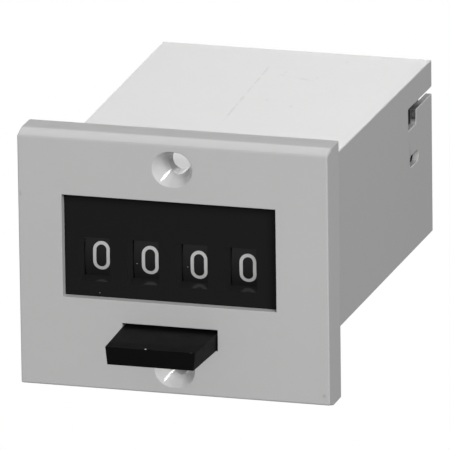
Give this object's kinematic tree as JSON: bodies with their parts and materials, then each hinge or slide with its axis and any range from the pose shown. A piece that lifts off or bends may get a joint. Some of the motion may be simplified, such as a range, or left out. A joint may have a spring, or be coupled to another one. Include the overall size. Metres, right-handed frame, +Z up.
{
  "type": "panel counter",
  "caption": "Panel-mounted pulse counter with number wheels behind a windowed bezel, a push key that resets them, and a box case behind the panel.",
  "frame": {"origin": "centre of the bezel's rear face, midway between the two fixing screw holes, in the plane of the panel's front", "axes": "+Z up, -Y out of the panel towards the reader, +Y back into the panel along the case, +X to the right seen from the front"},
  "size_m": [0.06, 0.1033, 0.05],
  "materials": {
    "bezel_grey": "satin light grey",
    "case_grey": "satin light grey",
    "mask_black": "satin black",
    "key_black": "satin black",
    "wheel_black": "matte black with white numerals",
    "steel": "plain",
    "brass": "plain",
    "copper": "lacquered copper wire",
    "ivory": "natural plastic"
  },
  "bodies": {
    "housing": {"front_bezel": "bezel_grey", "dial_mask": "mask_black", "case_shell": "case_grey", "rear_cover": "case_grey", "terminal_tabs": "brass", "left_side_plate": "steel", "right_side_plate": "steel", "base_plate": "steel", "rear_bridge": "steel", "tie_rods": "steel", "wheel_axle": "steel", "pinion_axle": "steel", "axle_clips": "steel", "coil_bobbin": "ivory", "coil_winding": "copper", "coil_core": "steel", "magnet_yoke": "steel", "yoke_screws": "steel", "armature_pin": "steel", "armature_spring": "steel", "coil_leads": "copper", "reset_spring": "steel", "guide_studs": "steel"},
    "reset": {"reset_key": "key_black", "reset_slider": "steel"},
    "thousands": {"thousands_wheel": "wheel_black"},
    "hundreds": {"hundreds_wheel": "wheel_black"},
    "tens": {"tens_wheel": "wheel_black"},
    "units": {"units_wheel": "wheel_black"},
    "thousands_carry": {"thousands_pinion": "ivory"},
    "hundreds_carry": {"hundreds_pinion": "ivory"},
    "tens_carry": {"tens_pinion": "ivory"},
    "armature": {"armature": "steel"}
  },
  "joints": [
    {"name": "reset_push", "type": "slide", "parent": "housing", "child": "reset", "axis": [0, 1, 0], "range_m": [0, 0.0037], "stiffness_N_per_m": 250, "springref_m": -0.004, "deforming": ["reset_spring"]},
    {"name": "thousands_turn", "type": "hinge", "parent": "housing", "child": "thousands", "pos_m": [0, 0.0096, -0.00041], "axis": [1, 0, 0], "continuous": true},
    {"name": "hundreds_turn", "type": "hinge", "parent": "housing", "child": "hundreds", "pos_m": [0, 0.0096, -0.00041], "axis": [1, 0, 0], "continuous": true},
    {"name": "tens_turn", "type": "hinge", "parent": "housing", "child": "tens", "pos_m": [0, 0.0096, -0.00041], "axis": [1, 0, 0], "continuous": true},
    {"name": "units_turn", "type": "hinge", "parent": "housing", "child": "units", "pos_m": [0, 0.0096, -0.00041], "axis": [1, 0, 0], "continuous": true},
    {"name": "thousands_carry_turn", "type": "hinge", "parent": "housing", "child": "thousands_carry", "pos_m": [0, 0.01701, 0.00978], "axis": [1, 0, 0], "continuous": true},
    {"name": "hundreds_carry_turn", "type": "hinge", "parent": "housing", "child": "hundreds_carry", "pos_m": [0, 0.01701, 0.00978], "axis": [1, 0, 0], "continuous": true},
    {"name": "tens_carry_turn", "type": "hinge", "parent": "housing", "child": "tens_carry", "pos_m": [0, 0.01701, 0.00978], "axis": [1, 0, 0], "continuous": true},
    {"name": "armature_swing", "type": "hinge", "parent": "housing", "child": "armature", "pos_m": [0, 0.0257, 0.0132], "axis": [1, 0, 0], "range_deg": [0, 3.5], "stiffness_Nm_per_rad": 0.05, "springref_deg": -6.88, "deforming": ["armature_spring"]}
  ],
  "couplings": [
    {"joint": "thousands_carry_turn", "follows": "thousands_turn", "ratio": -2.5},
    {"joint": "hundreds_carry_turn", "follows": "hundreds_turn", "ratio": -2.5},
    {"joint": "tens_carry_turn", "follows": "tens_turn", "ratio": -2.5}
  ]
}
